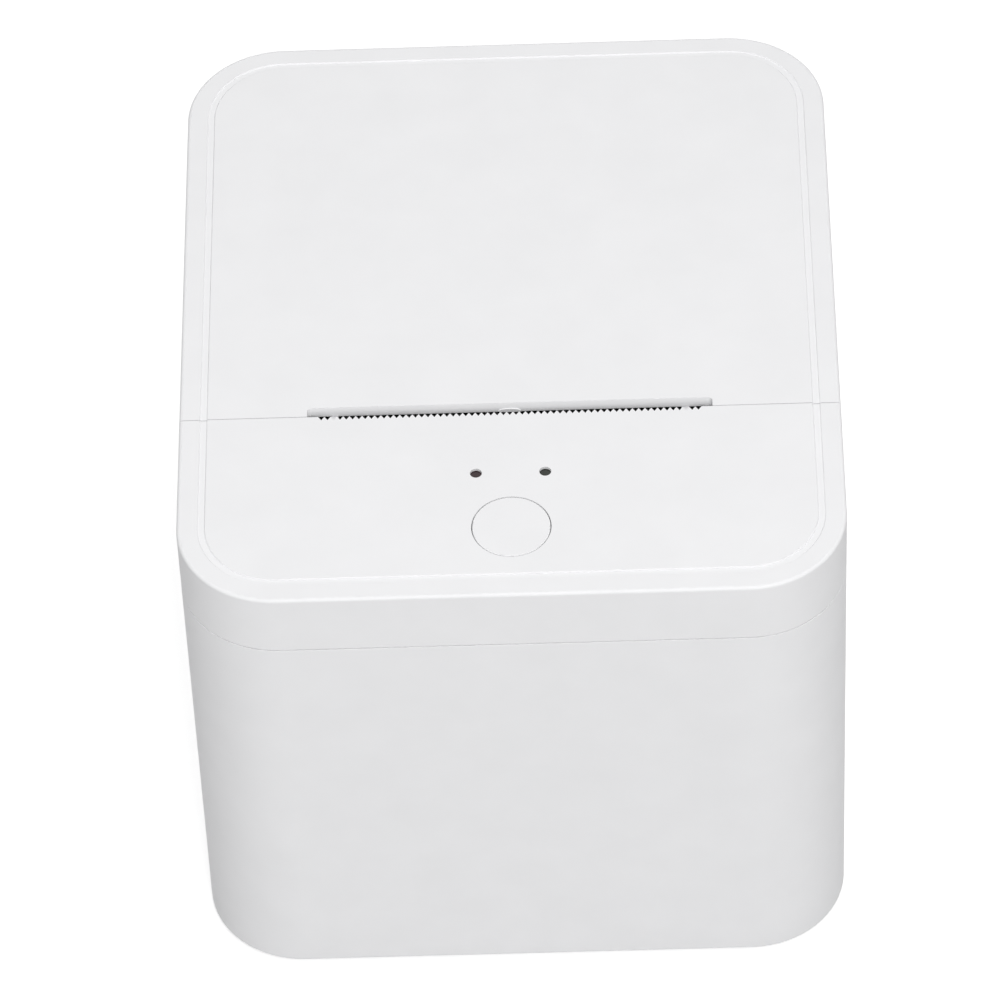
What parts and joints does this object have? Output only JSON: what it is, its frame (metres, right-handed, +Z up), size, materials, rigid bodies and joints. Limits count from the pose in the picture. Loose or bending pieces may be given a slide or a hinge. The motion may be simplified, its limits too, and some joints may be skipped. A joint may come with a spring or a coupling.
{
  "type": "thermal receipt printer",
  "caption": "White desktop receipt printer with round corners, a rear-hinged paper lid, a serrated paper slot across the top, a flush feed button and lamp windows.",
  "frame": {"origin": "on the table, under the middle of the case", "axes": "+X to the printer's right as seen from the front, +Y to the back, +Z up"},
  "size_m": [0.1, 0.116, 0.0875],
  "materials": {
    "white_shell": "fine satin white moulded plastic",
    "inner_plastic": "matt light grey moulded plastic",
    "dark_plastic": "matt black moulded plastic",
    "gear_plastic": "natural acetal",
    "platen_rubber": "ground black rubber",
    "foot_rubber": "soft grey rubber",
    "steel": "bright ground steel",
    "screw_steel": "zinc plated steel",
    "aluminium": "extruded aluminium",
    "bush_bronze": "sintered bronze",
    "head_ceramic": "glazed ceramic",
    "board": "green solder mask",
    "red_lens": "dark red light pipe",
    "green_lens": "dark green light pipe",
    "lamp": "lamp body"
  },
  "bodies": {
    "case": {"lower_body": "white_shell", "base_plate": "white_shell", "rubber_feet": "foot_rubber", "base_screws": "screw_steel", "front_cover": "white_shell", "cover_screws": "screw_steel", "button_switch": "dark_plastic", "button_board": "board", "button_board_screws": "screw_steel", "lamps": "lamp", "red_lens": "red_lens", "green_lens": "green_lens", "hinge_pins": "steel", "idler_stud": "steel", "stepper_motor": "screw_steel", "motor_screws": "screw_steel", "mechanism_frame": "dark_plastic", "frame_screws": "screw_steel", "head_pivot_rod": "steel", "head_springs": "steel", "latch_springs": "steel", "paper_bin": "inner_plastic", "deck_screws": "screw_steel", "paper_sensor": "dark_plastic", "main_board": "board", "main_board_screws": "screw_steel", "main_chip": "dark_plastic", "capacitors": "dark_plastic", "power_socket": "dark_plastic", "data_socket": "steel", "switch_housing": "dark_plastic"},
    "lid": {"lid": "white_shell", "lid_liner": "dark_plastic", "liner_screws": "screw_steel", "platen_bushes": "bush_bronze"},
    "platen": {"platen_roller": "platen_rubber", "platen_shaft": "steel", "platen_gear": "gear_plastic"},
    "idler": {"idler_gear": "gear_plastic"},
    "motor_rotor": {"motor_pinion": "gear_plastic", "motor_shaft": "steel"},
    "print_head": {"head_heat_sink": "aluminium", "thermal_head": "head_ceramic"},
    "feed_button": {"feed_button": "white_shell", "switch_plunger": "dark_plastic"},
    "power_rocker": {"power_rocker": "dark_plastic"}
  },
  "joints": [
    {"name": "lid_hinge", "type": "hinge", "parent": "case", "child": "lid", "pos_m": [0, 0.0555, 0.0762], "axis": [-1, 0, 0], "range_deg": [0, 90]},
    {"name": "platen_spin", "type": "hinge", "parent": "lid", "child": "platen", "pos_m": [0, -0.016, 0.072], "axis": [1, 0, 0], "continuous": true},
    {"name": "idler_spin", "type": "hinge", "parent": "case", "child": "idler", "pos_m": [0, -0.016, 0.058], "axis": [1, 0, 0], "continuous": true},
    {"name": "motor_spin", "type": "hinge", "parent": "case", "child": "motor_rotor", "pos_m": [0, -0.0235, 0.048], "axis": [1, 0, 0], "continuous": true},
    {"name": "head_tilt", "type": "hinge", "parent": "case", "child": "print_head", "pos_m": [0, -0.0244, 0.0612], "axis": [1, 0, 0], "range_deg": [0, 2], "stiffness_Nm_per_rad": 1, "springref_deg": -5.73, "deforming": ["head_springs"]},
    {"name": "feed_button_press", "type": "slide", "parent": "case", "child": "feed_button", "axis": [0, 0, -1], "range_m": [0, 0.0005], "stiffness_N_per_m": 400, "springref_m": -0.001},
    {"name": "power_rocker_tilt", "type": "hinge", "parent": "case", "child": "power_rocker", "pos_m": [-0.019, 0.05465, 0.015], "axis": [0, 0, 1], "range_deg": [0, 16]}
  ],
  "couplings": [
    {"joint": "idler_spin", "follows": "platen_spin", "ratio": -0.55556},
    {"joint": "motor_spin", "follows": "platen_spin", "ratio": 1.4286}
  ]
}
